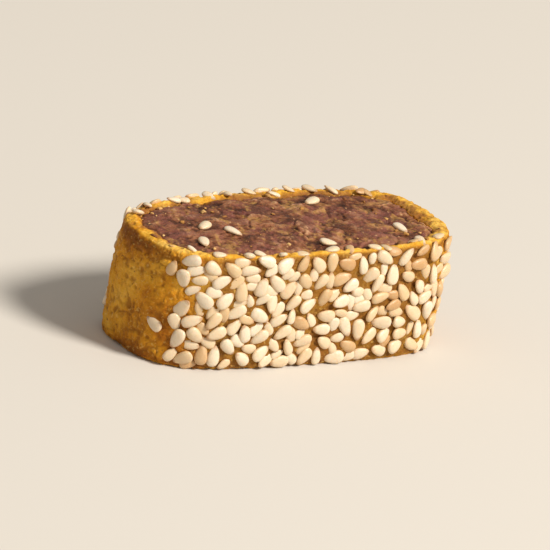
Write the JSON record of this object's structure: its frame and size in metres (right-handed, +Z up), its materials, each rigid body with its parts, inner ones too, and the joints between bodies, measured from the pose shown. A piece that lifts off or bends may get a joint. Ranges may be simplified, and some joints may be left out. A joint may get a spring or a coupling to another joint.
{
  "type": "makroud",
  "caption": "Makroud biscuit: a slice laid cut face up, brown date paste inside a thin golden pastry ring, sesame seeds on both long sides, smooth browned ends.",
  "frame": {"origin": "middle of the base, which is the lower cut face, under the middle of the whole slice's box", "axes": "+X along the slice's length, +Z up out of the upper cut face, -Y out of the sesame side that the picture shows"},
  "size_m": [0.048, 0.0246, 0.017],
  "materials": {
    "baked_pastry": "matte",
    "date_paste": "satin"
  },
  "bodies": {
    "root": {"pastry": "baked_pastry", "date_filling": "date_paste"}
  },
  "joints": []
}
